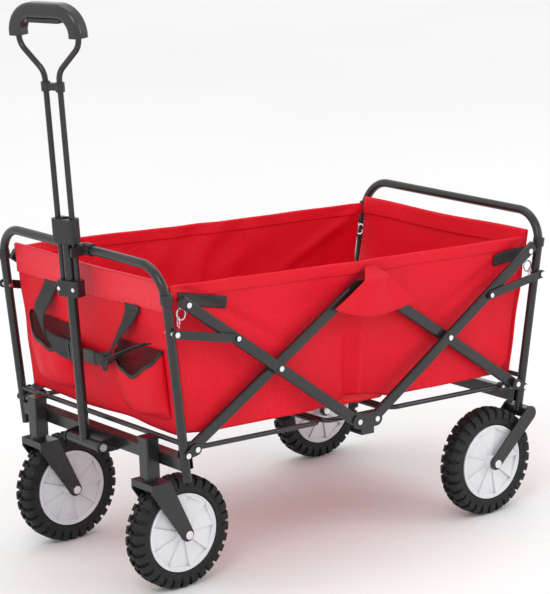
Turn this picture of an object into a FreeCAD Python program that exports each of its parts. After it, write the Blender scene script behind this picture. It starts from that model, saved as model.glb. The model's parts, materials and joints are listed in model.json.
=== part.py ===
"""Folding utility wagon: two leaning end frames, a scissor linkage on each side,
a soft basket, four wheels on forks and a telescoping pull handle.

Millimetres, +Z up, ground at z = 0. The handle end is -X and the near side -Y.
The frame has its own level, (x, y, h), which stands nose-up on the wheels:
grounded() takes a shape from that level to the ground's. Lengths along X are
from the middle of the linkage, and save() moves each node to the row's origin.
"""
import FreeCAD, Part
import math
import os
from FreeCAD import Vector

# Overall sizes
HALF_BASE = 388.0        # middle of the wagon to the foot pivot of either end frame
HALF_TRACK = 245.0       # middle of the wagon to the centre line of a post
FRAME_HEIGHT = 242.0     # ground to the frame's own zero level, at mid length
FRAME_PITCH = 2.6        # degrees that the front stands higher than the rear
POST_LEAN = 7.4          # degrees that each end frame leans outward
RAIL_REACH = 321.6       # foot pivot to the rail's centre, along the post
WHEEL_RADIUS = 100.0
CENTRE_SHIFT = 15.85     # puts the origin mid way between the grip and the rear rail

# Stock
TUBE_R = 8.0
TUBE_WALL = 1.2
CORNER_R = 60.0
BAR_SIDE = 22.0
BAR_WALL = 1.5
ROD_R = 4.5
PLATE = 3.0
RUN_FIT = 0.05           # radial clearance of a running fit
GAP = 0.4                # free gap between pieces that pass each other
PIN_R = 3.0
HEAD_R = 4.8
HEAD_T = 2.6

# End frames
FRONT_TAIL = 46.0
REAR_TAIL = 44.0
BAR_DROP = 18.0
BAR_INSET = 5.0
CROSS_ROD_RISE = 19.0
LINK_POST_RISE = 212.5
SLEEVE_RISE = 262.0
SLEEVE_LENGTH = 16.0
SLEEVE_WALL = 2.5

# Side linkage, in the frame's level, front half; the rear half mirrors it
FOOT_IN = 19.0
FOOT_RISE = 8.0
CROSS_X = 194.0
CROSS_RISE = 121.0
HUB_HALF = 20.0
UPPER_RISE = 234.0
TOP_X = 388.0
TOP_RISE = 256.0
LINK_ARM_X = 289.0
ARM_W = 20.0
ARM_T = 10.0
ARM_WALL = 1.2
ARM_EDGE = 3.5
ARM_OVERHANG = 11.5
CAP_T = 3.0
INNER_ARM_Y = 242.0      # centre of the rising arms' layer
OUTER_ARM_Y = INNER_ARM_Y + ARM_T + 2.0
LINK_Y = OUTER_ARM_Y + ARM_T / 2 + 1.5
LINK_W = 15.0

# Floor
FLOOR_HINGE_X = 352.0
FLOOR_RISE = 2.5
FLOOR_REACH = 275.0
FLOOR_Y = 229.0
FLOOR_BEND_R = 16.0
FLOOR_GAP = 3.0
BOARD_T = 5.0
BOARD_HALF = 221.0
BOARD_LIFT = 15.0        # the boards hang in the cloth, this far over the rods
BOARD_HINGE_GAP = 30.0

# Basket
CLOTH = 3.0
PANEL_OUT = 14.0
PANEL_HALF = 232.0
PANEL_BOTTOM = 22.0
PANEL_TOP = 285.0
SIDE_TOP = 275.0
SIDE_BOTTOM = 20.0
FLAP_W = 166.0
FLAP_TOP = 266.0
FLAP_SHOULDER = 199.0
FLAP_BOTTOM = 183.0

# Wheels and forks
TYRE_W = 40.0
RIM_R = 69.0
TREAD_DEPTH = 4.5
TREAD_COUNT = 30
HUB_FACETS = 9
HUB_W = 34.0
BOSS_R = 13.0
BOSS_W = 50.0
AXLE_R = 5.0
FORK_GAP = 55.0
FORK_TOP_W = 40.0
FORK_END_R = 12.5
STEM_R = 6.0
FRONT_WHEEL_X = -354.0
FRONT_WHEEL_Y = 170.0
REAR_WHEEL_X = 296.0
STEM_X = -406.0
HOUSING_SIDE = 26.0
HOUSING_BOTTOM = 208.0
HOUSING_TOP = 280.0
CROWN_Z = 198.5
REAR_FORK_TOP = (383.0, 178.0)

# Handle
HANDLE_X = -420.0
HANDLE_Z = 236.0
HANDLE_LEAN = 2.5
HANDLE_TWIST = 14.0
YOKE_R = 9.0
YOKE_HALF = 48.0
HANDLE_PIN_R = 4.0
MAST_R = 9.0
MAST_TOP = 388.0
PULL_ROD_R = 5.0
PULL_SPACING = 32.0
COLLAR = (355.0, 397.0)
SLIDER = (262.0, 290.0)
SPACER = (613.0, 629.0)
BLOCK_T = 25.0
LOOP_NECK = 645.0
LOOP_SPREAD = 691.0
LOOP_HALF = 66.5
LOOP_TOP = 748.0
GRIP_FOOT = 705.0
GRIP_IN_PLANE = 26.0
GRIP_DEPTH = 29.0

X_AXIS = Vector(1, 0, 0)
Y_AXIS = Vector(0, 1, 0)
Z_AXIS = Vector(0, 0, 1)
ORIGIN = Vector(0, 0, 0)


# Helpers ------------------------------------------------------------------------

def save(name, *solids):
    """Writes one node; identical pieces share it as a group of solids."""
    shape = solids[0] if len(solids) == 1 else Part.makeCompound(list(solids))
    moved(shape, X_AXIS * CENTRE_SHIFT).exportStep("parts/" + name + ".step")


def moved(shape, vector):
    shape = shape.copy()
    shape.translate(vector)
    return shape


def turned(shape, centre, axis, degrees):
    shape = shape.copy()
    shape.rotate(centre, axis, degrees)
    return shape


def mirrored_x(shape):
    return shape.mirror(ORIGIN, X_AXIS)


def both_sides(shape):
    """The piece and its mirror image on the far side."""
    return [shape, shape.mirror(ORIGIN, Y_AXIS)]


def grounded(shape):
    """Takes a shape from the frame's own level to the ground's."""
    return moved(turned(shape, ORIGIN, Y_AXIS, FRAME_PITCH), Z_AXIS * FRAME_HEIGHT)


def at_end(shape, end):
    """Takes a shape from post coordinates (outward, y, along the post) to an end."""
    shape = turned(shape, ORIGIN, Y_AXIS, POST_LEAN)
    shape = moved(shape, Vector(HALF_BASE, 0, 0))
    if end == "front":
        shape = mirrored_x(shape)
    return grounded(shape)


def post_point(out, rise):
    """A point of the post's own plane, as (x, h) in the frame's level."""
    lean = math.radians(POST_LEAN)
    x = HALF_BASE + rise * math.sin(lean) + out * math.cos(lean)
    h = rise * math.cos(lean) - out * math.sin(lean)
    return x, h


def box(x0, x1, y0, y1, z0, z1):
    return Part.makeBox(x1 - x0, y1 - y0, z1 - z0, Vector(x0, y0, z0))


def rod(start, end, radius):
    way = end.sub(start)
    return Part.makeCylinder(radius, way.Length, start, way)


def y_pin(x, z, y0, y1, radius):
    return Part.makeCylinder(radius, y1 - y0, Vector(x, y0, z), Y_AXIS)


def prism(points, y0, y1):
    """A flat outline in the XZ plane, drawn out from y0 to y1."""
    corners = [Vector(x, y0, z) for x, z in points]
    face = Part.Face(Part.makePolygon(corners + corners[:1]))
    return face.extrude(Vector(0, y1 - y0, 0))


def slot_plate(a, b, radius_a, radius_b, y0, y1):
    """A flat link with round ends at a and b, both (x, z), from y0 to y1."""
    ax, az = a
    bx, bz = b
    length = math.hypot(bx - ax, bz - az)
    along = math.atan2(bz - az, bx - ax)
    side = math.acos((radius_a - radius_b) / length)
    corners = []
    for x, z, radius, sign in ((ax, az, radius_a, 1), (bx, bz, radius_b, 1),
                               (bx, bz, radius_b, -1), (ax, az, radius_a, -1)):
        angle = along + sign * side
        corners.append((x + radius * math.cos(angle), z + radius * math.sin(angle)))
    plate = prism(corners, y0, y1)
    ends = [y_pin(ax, az, y0, y1, radius_a), y_pin(bx, bz, y0, y1, radius_b)]
    return plate.fuse(ends).removeSplitter()


def bent_wire(points, radii):
    """A line through the points with each inner corner rounded to its radius."""
    edges = []
    start = points[0]
    for corner, after, radius in zip(points[1:-1], points[2:], radii):
        into = corner.sub(start).normalize()
        out = after.sub(corner).normalize()
        half = into.getAngle(out) / 2
        cut = radius * math.tan(half)
        first = corner.sub(into * cut)
        last = corner.add(out * cut)
        inward = out.sub(into).normalize()
        middle = corner.add(inward * (radius / math.cos(half) - radius))
        edges.append(Part.makeLine(start, first))
        edges.append(Part.Arc(first, middle, last).toShape())
        start = last
    edges.append(Part.makeLine(start, points[-1]))
    return Part.Wire(edges)


def pipe(wire, radius):
    start = wire.OrderedEdges[0]
    place = start.valueAt(start.FirstParameter)
    way = start.tangentAt(start.FirstParameter)
    circle = Part.Wire(Part.makeCircle(radius, place, way))
    return wire.makePipeShell([circle], True, True)


def hollow_pipe(wire, radius, wall):
    return pipe(wire, radius).cut(pipe(wire, radius - wall))


# End frames ----------------------------------------------------------------------

def end_path(tail):
    return bent_wire([Vector(0, -HALF_TRACK, -tail), Vector(0, -HALF_TRACK, RAIL_REACH),
                      Vector(0, HALF_TRACK, RAIL_REACH), Vector(0, HALF_TRACK, -tail)],
                     [CORNER_R, CORNER_R])


def end_tube(tail):
    """Two posts and a top rail bent from one tube, drilled for its rivets."""
    tube = hollow_pipe(end_path(tail), TUBE_R, TUBE_WALL)
    for rise in (0.0, LINK_POST_RISE):
        tube = tube.cut(y_pin(0, rise, -HALF_TRACK - 20, HALF_TRACK + 20, PIN_R + 1))
    return tube


def end_plugs(tail):
    """Plastic plugs in the posts' open feet."""
    head = Part.makeCylinder(TUBE_R, 2, Vector(0, -HALF_TRACK, -tail - 2))
    stopper = Part.makeCylinder(TUBE_R - TUBE_WALL, 12, Vector(0, -HALF_TRACK, -tail))
    return both_sides(head.fuse(stopper))


def cross_bar():
    """A square tube between the posts, coped round them."""
    out = -BAR_INSET
    half = BAR_SIDE / 2
    hole = half - BAR_WALL
    bar = box(out - half, out + half, -HALF_TRACK, HALF_TRACK, -BAR_DROP - half, -BAR_DROP + half)
    bar = bar.cut(box(out - hole, out + hole, -HALF_TRACK, HALF_TRACK, -BAR_DROP - hole, -BAR_DROP + hole))
    for y in (-HALF_TRACK, HALF_TRACK):
        bar = bar.cut(rod(Vector(0, y, -80), Vector(0, y, 20), TUBE_R))
        beyond = box(-40, 40, min(y, 1.1 * y), max(y, 1.1 * y), -60, 20)
        bar = bar.cut(beyond)
    return bar


def cross_rod():
    """The thin rod over the bar that the basket's lower edge hangs on."""
    thin = rod(Vector(0, -HALF_TRACK, CROSS_ROD_RISE), Vector(0, HALF_TRACK, CROSS_ROD_RISE), ROD_R)
    for y in (-HALF_TRACK, HALF_TRACK):
        thin = thin.cut(rod(Vector(0, y, -80), Vector(0, y, 80), TUBE_R))
    return thin.Solids[0] if len(thin.Solids) == 1 else max(thin.Solids, key=lambda s: s.Volume)


def foot_bracket():
    """Two plates that straddle the near post's foot and carry the foot pivots."""
    foot = (-HALF_BASE + FOOT_IN, FOOT_RISE)
    floor = (-FLOOR_HINGE_X, FLOOR_RISE)
    post = (-HALF_BASE, 0.0)
    inner = -HALF_TRACK + TUBE_R + GAP / 2
    outer = -HALF_TRACK - TUBE_R - GAP / 2
    plates = []
    for y0, y1, last in ((inner, inner + PLATE, floor), (outer - PLATE, outer, foot)):
        blank = slot_plate(post, foot, 6.8, 10, y0, y1)
        if last is floor:
            blank = blank.fuse(slot_plate(foot, floor, 10, 8, y0, y1)).removeSplitter()
            blank = blank.cut(y_pin(floor[0], floor[1], y0, y1, PIN_R))
        for x, h in (post, foot):
            blank = blank.cut(y_pin(x, h, y0, y1, PIN_R))
        plates.append(blank)
    return plates


def foot_pins():
    """The post rivet, the rising arm's pivot pin and the floor rod's pin."""
    inner = -HALF_TRACK + TUBE_R + GAP / 2 + PLATE
    outer = -HALF_TRACK - TUBE_R - GAP / 2 - PLATE
    pins = []
    for x, h in ((-HALF_BASE, 0.0), (-HALF_BASE + FOOT_IN, FOOT_RISE)):
        shank = y_pin(x, h, outer - HEAD_T, inner + HEAD_T / 2, PIN_R)
        heads = [y_pin(x, h, outer - HEAD_T, outer, HEAD_R), y_pin(x, h, inner, inner + HEAD_T / 2, HEAD_R - 1)]
        pins.append(shank.fuse(heads))
    x, h = -FLOOR_HINGE_X, FLOOR_RISE
    start = inner - PLATE
    shank = y_pin(x, h, start, -FLOOR_Y + ROD_R + 1, PIN_R)
    pins.append(shank.fuse(y_pin(x, h, -FLOOR_Y + ROD_R + 1, -FLOOR_Y + ROD_R + 3, HEAD_R - 1)))
    return pins


def link_post_pin():
    """The shouldered rivet that holds a link clear of its post, in post coordinates."""
    y_link = -LINK_Y
    shank = y_pin(0, LINK_POST_RISE, y_link - PLATE - 0.6 - HEAD_T, -HALF_TRACK + TUBE_R + 2, PIN_R)
    head = y_pin(0, LINK_POST_RISE, y_link - PLATE - 0.6 - HEAD_T, y_link - PLATE - 0.6, HEAD_R)
    boss = y_pin(0, LINK_POST_RISE, y_link + 0.6, -HALF_TRACK - TUBE_R, HEAD_R)
    tail = y_pin(0, LINK_POST_RISE, -HALF_TRACK + TUBE_R, -HALF_TRACK + TUBE_R + 2, HEAD_R - 1)
    return shank.fuse([head, boss, tail])


def post_sleeve():
    """The plastic sleeve that the basket's corner is tied to."""
    low = Vector(0, -HALF_TRACK, SLEEVE_RISE)
    high = Vector(0, -HALF_TRACK, SLEEVE_RISE + SLEEVE_LENGTH)
    return rod(low, high, TUBE_R + SLEEVE_WALL).cut(rod(low, high, TUBE_R))


def make_end(end, tail):
    save(end + "_frame_tube", at_end(end_tube(tail), end))
    fittings = end_plugs(tail) + both_sides(post_sleeve())
    save(end + "_post_fittings", *[at_end(s, end) for s in fittings])
    save(end + "_cross_members", at_end(cross_bar(), end), at_end(cross_rod(), end))
    plates = []
    pins = []
    for plate in foot_bracket():
        plates += both_sides(plate)
    for pin in foot_pins():
        pins += both_sides(pin)
    link_pins = [at_end(s, end) for s in both_sides(link_post_pin())]
    save(end + "_foot_brackets", *ends_placed(plates, end))
    bolts = [handle_bolt()] if end == "front" else []
    save(end + "_pins", *link_pins, *ends_placed(pins, end), *bolts)


# Side linkage --------------------------------------------------------------------

FOOT = (-HALF_BASE + FOOT_IN, FOOT_RISE)
CROSS = (-CROSS_X, CROSS_RISE)
UPPER = (-HUB_HALF, UPPER_RISE)
LOWER = (-HUB_HALF, 0.0)
TOP = (-TOP_X, TOP_RISE)


def arm(a, b, y_mid, round_start, bores):
    """A flat tube from a to b with rounded edges, drilled for its pivots."""
    ax, az = a
    bx, bz = b
    length = math.hypot(bx - ax, bz - az)
    slope = math.degrees(math.atan2(bz - az, bx - ax))
    before = ARM_W / 2 if round_start else ARM_OVERHANG
    whole = before + length + ARM_OVERHANG
    bar = moved(arm_section(whole, ARM_W, ARM_T, ARM_EDGE), Vector(-before, 0, 0))
    closed = 2 * before if round_start else 0.0
    hollow = arm_section(whole - closed, ARM_W - 2 * ARM_WALL, ARM_T - 2 * ARM_WALL, ARM_EDGE - ARM_WALL)
    bar = bar.cut(moved(hollow, Vector(closed - before, 0, 0)))
    if round_start:
        corners = box(-before - 1, 0, -ARM_T, ARM_T, -ARM_W, ARM_W)
        bar = bar.cut(corners.cut(y_pin(0, 0, -ARM_T, ARM_T, ARM_W / 2)))
    bar = turned(bar, ORIGIN, Y_AXIS, -slope)
    bar = moved(bar, Vector(ax, y_mid, az))
    for (x, z), radius in bores:
        bar = bar.cut(y_pin(x, z, y_mid - ARM_T, y_mid + ARM_T, radius))
    return bar


def arm_section(length, width, thick, edge):
    """A length of flat bar along X with its long edges rounded."""
    blank = box(0, length, -thick / 2, thick / 2, -width / 2, width / 2)
    edges = [e for e in blank.Edges if abs(e.tangentAt(e.FirstParameter).x) > 0.99]
    return blank.makeFillet(edge, edges)


def arm_caps(a, b, y_mid, round_start):
    """The moulded caps on an arm's cut ends."""
    ax, az = a
    bx, bz = b
    length = math.hypot(bx - ax, bz - az)
    slope = math.degrees(math.atan2(bz - az, bx - ax))
    caps = []
    starts = [length + ARM_OVERHANG]
    if not round_start:
        starts.append(-ARM_OVERHANG - CAP_T)
    for start in starts:
        cap = moved(arm_section(CAP_T, ARM_W, ARM_T, ARM_EDGE), Vector(start, 0, 0))
        cap = turned(cap, ORIGIN, Y_AXIS, -slope)
        caps.append(moved(cap, Vector(ax, y_mid, az)))
    return caps


def rivet(x, z, y_out, y_in, radius=PIN_R):
    """A domed rivet from its outer head at y_out to its inner head at y_in."""
    shank = y_pin(x, z, y_out, y_in, radius)
    outer = y_pin(x, z, y_out - HEAD_T, y_out, HEAD_R)
    inner = y_pin(x, z, y_in, y_in + HEAD_T / 2, HEAD_R - 1)
    return shank.fuse([outer, inner])


def ends_placed(solids, end):
    if end == "rear":
        solids = [mirrored_x(s) for s in solids]
    return [grounded(s) for s in solids]


def make_rising_arms(end):
    """The arms from the foot brackets up to the upper hub, with the crossing rivets."""
    y_mid = -INNER_ARM_Y
    bores = [(FOOT, PIN_R + RUN_FIT), (CROSS, PIN_R), (UPPER, PIN_R + RUN_FIT)]
    arms = both_sides(arm(FOOT, UPPER, y_mid, True, bores))
    for cap in arm_caps(FOOT, UPPER, y_mid, True):
        arms += both_sides(cap)
    save(end + "_rising_arms", *ends_placed(arms, end))
    outer = -OUTER_ARM_Y - ARM_T / 2 - GAP
    inner = -INNER_ARM_Y + ARM_T / 2
    pins = both_sides(rivet(CROSS[0], CROSS[1], outer, inner))
    save(end + "_crossing_rivets", *ends_placed(pins, end))


def make_falling_arms(end):
    """The arms from above the link down to the lower hub, with their top rivets."""
    y_mid = -OUTER_ARM_Y
    bores = [(TOP, PIN_R), (CROSS, PIN_R + RUN_FIT), (LOWER, PIN_R + RUN_FIT)]
    arms = both_sides(arm(TOP, LOWER, y_mid, False, bores))
    for cap in arm_caps(TOP, LOWER, y_mid, False):
        arms += both_sides(cap)
    save(end + "_falling_arms", *ends_placed(arms, end))
    outer = -OUTER_ARM_Y - ARM_T / 2
    inner = -OUTER_ARM_Y + ARM_T / 2
    pins = both_sides(rivet(TOP[0], TOP[1], outer, inner))
    save(end + "_top_rivets", *ends_placed(pins, end))


def make_links(end):
    """The short links from the posts to the falling arms, open at the arm."""
    x_post, h_post = post_point(0.0, LINK_POST_RISE)
    share = (TOP_X - LINK_ARM_X) / (TOP_X - CROSS_X)
    h_arm = TOP_RISE + share * (CROSS_RISE - TOP_RISE)
    a = (-x_post, h_post)
    b = (-LINK_ARM_X, h_arm)
    plate = slot_plate(a, b, LINK_W / 2, LINK_W / 2, -LINK_Y - PLATE, -LINK_Y)
    plate = plate.cut(y_pin(a[0], a[1], -LINK_Y - PLATE, -LINK_Y, PIN_R + RUN_FIT))
    head = y_pin(b[0], b[1], -LINK_Y - PLATE - HEAD_T, -LINK_Y - PLATE, HEAD_R)
    save(end + "_links", *ends_placed(both_sides(plate.fuse(head)), end))


def hub_plate(rise, y0, y1, width):
    """A plate with round ends that joins the two arms of one side."""
    return slot_plate((-HUB_HALF, rise), (HUB_HALF, rise), width / 2, width / 2, y0, y1)


def hub_rivets(rise, outer, inner):
    return [rivet(-HUB_HALF, rise, outer, inner), rivet(HUB_HALF, rise, outer, inner)]


def make_hubs():
    """Upper and lower hubs: the upper one's rear pivot is left open."""
    y1 = -INNER_ARM_Y - ARM_T / 2 - GAP
    plate = hub_plate(UPPER_RISE, y1 - PLATE, y1, 30).cut(y_pin(-HUB_HALF, UPPER_RISE, y1 - PLATE, y1, PIN_R))
    plates = both_sides(plate)
    pin = rivet(-HUB_HALF, UPPER_RISE, y1 - PLATE, -INNER_ARM_Y + ARM_T / 2 + GAP)
    dummy = y_pin(HUB_HALF, UPPER_RISE, y1 - PLATE - HEAD_T, y1 - PLATE, HEAD_R)
    pins = both_sides(pin) + both_sides(dummy)
    save("upper_hubs", *[grounded(s) for s in plates + pins])
    y1 = -OUTER_ARM_Y - ARM_T / 2 - GAP
    plate = hub_plate(0.0, y1 - PLATE, y1, 26)
    for x in (-HUB_HALF, HUB_HALF):
        plate = plate.cut(y_pin(x, 0, y1 - PLATE, y1, PIN_R))
    save("lower_hub_plates", *[grounded(s) for s in both_sides(plate) + both_sides(hub_arm())])
    pins = []
    for x in (-HUB_HALF, HUB_HALF):
        pins += both_sides(rivet(x, 0, y1 - PLATE, -OUTER_ARM_Y + ARM_T / 2 + GAP))
    save("lower_hub_rivets", *[grounded(s) for s in pins])


# Floor ---------------------------------------------------------------------------

def floor_half_rod():
    """A bent rod under the front half, with an eye at each hinge."""
    x_in = -FLOOR_HINGE_X + FLOOR_REACH - ROD_R
    x_out = -FLOOR_HINGE_X + 4
    path = bent_wire([Vector(x_out, -FLOOR_Y, FLOOR_RISE), Vector(x_in, -FLOOR_Y, FLOOR_RISE),
                      Vector(x_in, FLOOR_Y, FLOOR_RISE), Vector(x_out, FLOOR_Y, FLOOR_RISE)],
                     [FLOOR_BEND_R, FLOOR_BEND_R])
    shape = pipe(path, ROD_R)
    for y in (-FLOOR_Y, FLOOR_Y):
        shape = shape.fuse(y_pin(-FLOOR_HINGE_X, FLOOR_RISE, y - ROD_R + 0.2, y + ROD_R, 6.5))
    for y in (-FLOOR_Y, FLOOR_Y):
        shape = shape.cut(y_pin(-FLOOR_HINGE_X, FLOOR_RISE, y - 10, y + 10, PIN_R + RUN_FIT))
    return shape


def floor_board(x0, x1):
    z0 = FLOOR_RISE + ROD_R + BOARD_LIFT
    board = box(x0, x1, -BOARD_HALF, BOARD_HALF, z0, z0 + BOARD_T)
    edges = [e for e in board.Edges if abs(e.tangentAt(e.FirstParameter).z) > 0.99]
    return board.makeFillet(12, edges)


def centre_frame():
    """The cross member that the lower hubs carry: two cross rods and two side rods."""
    half = FLOOR_HINGE_X - FLOOR_REACH - FLOOR_GAP
    ring = bent_wire([Vector(-half + ROD_R, 0, FLOOR_RISE), Vector(-half + ROD_R, -FLOOR_Y, FLOOR_RISE),
                      Vector(half - ROD_R, -FLOOR_Y, FLOOR_RISE), Vector(half - ROD_R, FLOOR_Y, FLOOR_RISE),
                      Vector(-half + ROD_R, FLOOR_Y, FLOOR_RISE), Vector(-half + ROD_R, 0, FLOOR_RISE)],
                     [FLOOR_BEND_R] * 4)
    return pipe(ring, ROD_R)


def hub_arm():
    """The lug that ties the centre frame to the near lower hub plate, under the arms."""
    y_plate = -OUTER_ARM_Y - ARM_T / 2 - GAP
    low = -ARM_W / 2 - 12
    foot = box(-14, 14, y_plate - PLATE, -FLOOR_Y + ROD_R, low - PLATE, low)
    rise = box(-14, 14, -FLOOR_Y - PLATE / 2, -FLOOR_Y + PLATE / 2, low, FLOOR_RISE)
    face = box(-14, 14, y_plate - PLATE, y_plate, low, -13)
    lug = foot.fuse([rise, face]).removeSplitter()
    return lug.cut(rod(Vector(-40, -FLOOR_Y, FLOOR_RISE), Vector(40, -FLOOR_Y, FLOOR_RISE), ROD_R))


def make_floor():
    front = floor_half_rod()
    save("front_floor_rod", grounded(front))
    save("rear_floor_rod", grounded(mirrored_x(front)))
    inner = -FLOOR_HINGE_X + FLOOR_REACH
    board = floor_board(-FLOOR_HINGE_X + BOARD_HINGE_GAP, inner)
    save("front_floor_board", grounded(board))
    save("rear_floor_board", grounded(mirrored_x(board)))
    save("centre_floor_frame", grounded(centre_frame()))
    save("centre_floor_board", grounded(floor_board(inner + FLOOR_GAP, -inner - FLOOR_GAP)))


# Basket --------------------------------------------------------------------------

def end_panel():
    """The cloth wall inside an end frame, in post coordinates."""
    shoulder = SIDE_TOP + 8
    outline = [(-PANEL_HALF, PANEL_BOTTOM), (PANEL_HALF, PANEL_BOTTOM), (PANEL_HALF, shoulder),
               (PANEL_HALF - 18, PANEL_TOP), (-PANEL_HALF + 18, PANEL_TOP), (-PANEL_HALF, shoulder)]
    corners = [Vector(-PANEL_OUT - CLOTH, y, z) for y, z in outline]
    face = Part.Face(Part.makePolygon(corners + corners[:1]))
    return face.extrude(X_AXIS * CLOTH)


def side_panel():
    """The near cloth wall between the end panels."""
    out = -PANEL_OUT - CLOTH - GAP
    low_x, low_h = post_point(out, SIDE_BOTTOM)
    high_x, high_h = post_point(out, SIDE_TOP)
    outline = [(-low_x, low_h), (low_x, low_h), (high_x, high_h), (-high_x, high_h)]
    return prism(outline, -PANEL_HALF, -PANEL_HALF + CLOTH)


def hub_flap():
    """The cloth flap that hangs over the near upper hub."""
    half = FLAP_W / 2
    y1 = -OUTER_ARM_Y - ARM_T / 2 - 3 * GAP - PLATE
    outline = [(-half, FLAP_SHOULDER), (-half + 30, FLAP_BOTTOM + 3), (0, FLAP_BOTTOM),
               (half - 30, FLAP_BOTTOM + 3), (half, FLAP_SHOULDER), (22, FLAP_TOP), (-22, FLAP_TOP)]
    return prism(outline, y1 - CLOTH, y1)


def make_basket():
    for end in ("front", "rear"):
        save(end + "_panel", at_end(end_panel(), end))
    near, far = both_sides(side_panel())
    save("side_panel_near", grounded(near))
    save("side_panel_far", grounded(far))
    save("hub_flaps", *[grounded(s) for s in both_sides(hub_flap())])


def make_buckle():
    """The side-release buckle on the front panel's straps: socket and prong."""
    out = -PANEL_OUT + 9.0
    rise = 124.0
    middle = -14.0
    socket = box(out, out + 8, middle, middle + 36, rise - 13, rise + 13)
    socket = socket.makeFillet(3, socket.Edges)
    prong = box(out + 1, out + 7, middle - 28, middle - 0.2, rise - 11, rise + 11)
    window = box(out, out + 8, middle - 25, middle - 20, rise - 8, rise + 8)
    prong = prong.makeFillet(2, prong.Edges).cut(window)
    save("panel_buckle", at_end(socket, "front"), at_end(prong, "front"))


# Wheels and forks ----------------------------------------------------------------

def ring_of(profile):
    """Turns a (radius, y) outline about the Y axis."""
    corners = [Vector(r, y, 0) for r, y in profile]
    face = Part.Face(Part.makePolygon(corners + corners[:1]))
    return face.revolve(ORIGIN, Y_AXIS, 360)


def tyre():
    """A blocky tyre: a plain carcass with three rows of tread lugs."""
    half = TYRE_W / 2
    top = WHEEL_RADIUS
    base = top - TREAD_DEPTH
    carcass = ring_of([(RIM_R, -half + 5), (RIM_R + 4, -half + 1.5), (base - 14, -half + 1.5), (base - 4, -half + 5),
                       (base, -half + 12), (base, half - 12), (base - 4, half - 5), (base - 14, half - 1.5),
                       (RIM_R + 4, half - 1.5), (RIM_R, half - 5)])
    envelope = ring_of([(base - 16, -half + 1.5), (base - 12, -half), (top - 7, -half), (top - 1, -half + 6), (top, -half + 12),
                        (top, half - 12), (top - 1, half - 6), (top - 7, half), (base - 12, half), (base - 16, half - 1.5)])
    pitch = 360.0 / TREAD_COUNT
    width = 2 * math.pi * top / TREAD_COUNT
    shoulder = envelope.common(box(-width * 0.30, width * 0.30, -half - 1, -half + 13, base - 15, top + 1))
    middle = box(-width * 0.25, width * 0.25, -4, 4, base - 2, top + 1)
    middle = envelope.common(turned(middle, ORIGIN, Z_AXIS, 30))
    lugs = []
    for i in range(TREAD_COUNT):
        lugs.append(turned(shoulder, ORIGIN, Y_AXIS, i * pitch))
        lugs.append(turned(shoulder.mirror(ORIGIN, Y_AXIS), ORIGIN, Y_AXIS, (i + 0.5) * pitch))
        lugs.append(turned(middle, ORIGIN, Y_AXIS, (i + 0.25) * pitch))
    return carcass.fuse([lug.Solids[0] for lug in lugs])


def facet_cutter(index, side):
    """One slanted pocket of the hub's fan, on the given face (-1 or 1)."""
    step = 2 * math.pi / HUB_FACETS
    first = index * step
    face_y = side * HUB_W / 2
    low = []
    for radius, angle, depth in ((BOSS_R + 3, first, 0.3), (RIM_R - 5, first, 0.3),
                                 (RIM_R - 5, first + step, 5.0), (BOSS_R + 3, first + step, 2.5)):
        low.append(Vector(radius * math.cos(angle), face_y - side * depth, radius * math.sin(angle)))
    high = [Vector(p.x, face_y + side * 6, p.z) for p in low]
    faces = [Part.Face(Part.makePolygon(high + high[:1]))]
    faces.append(Part.Face(Part.makePolygon([low[0], low[1], low[2], low[0]])))
    faces.append(Part.Face(Part.makePolygon([low[0], low[2], low[3], low[0]])))
    for i in range(4):
        j = (i + 1) % 4
        faces.append(Part.Face(Part.makePolygon([low[i], low[j], high[j], high[i], low[i]])))
    solid = Part.makeSolid(Part.makeShell(faces))
    if solid.Volume < 0:
        solid.reverse()
    return solid


def hub():
    """A moulded disc with a fan of facets, a raised rim and a boss."""
    half = HUB_W / 2
    profile = [(AXLE_R + RUN_FIT, -BOSS_W / 2), (BOSS_R, -BOSS_W / 2), (BOSS_R, -half), (RIM_R - 4, -half),
               (RIM_R - 3, -half - 1.5), (RIM_R, -half - 1), (RIM_R, half + 1), (RIM_R - 3, half + 1.5),
               (RIM_R - 4, half), (BOSS_R, half), (BOSS_R, BOSS_W / 2), (AXLE_R + RUN_FIT, BOSS_W / 2)]
    disc = ring_of(profile)
    cutters = [facet_cutter(i, side) for i in range(HUB_FACETS) for side in (-1, 1)]
    return disc.cut(cutters)


def axle(x, y, z, outer):
    """A bolt through the fork with a domed head and a nut."""
    shank = y_pin(x, z, y - outer - 2, y + outer + 6, AXLE_R)
    head = y_pin(x, z, y - outer - 5, y - outer, 7.5)
    nut = y_pin(x, z, y + outer, y + outer + 5, 8.0)
    return shank.fuse([head, nut])


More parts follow.
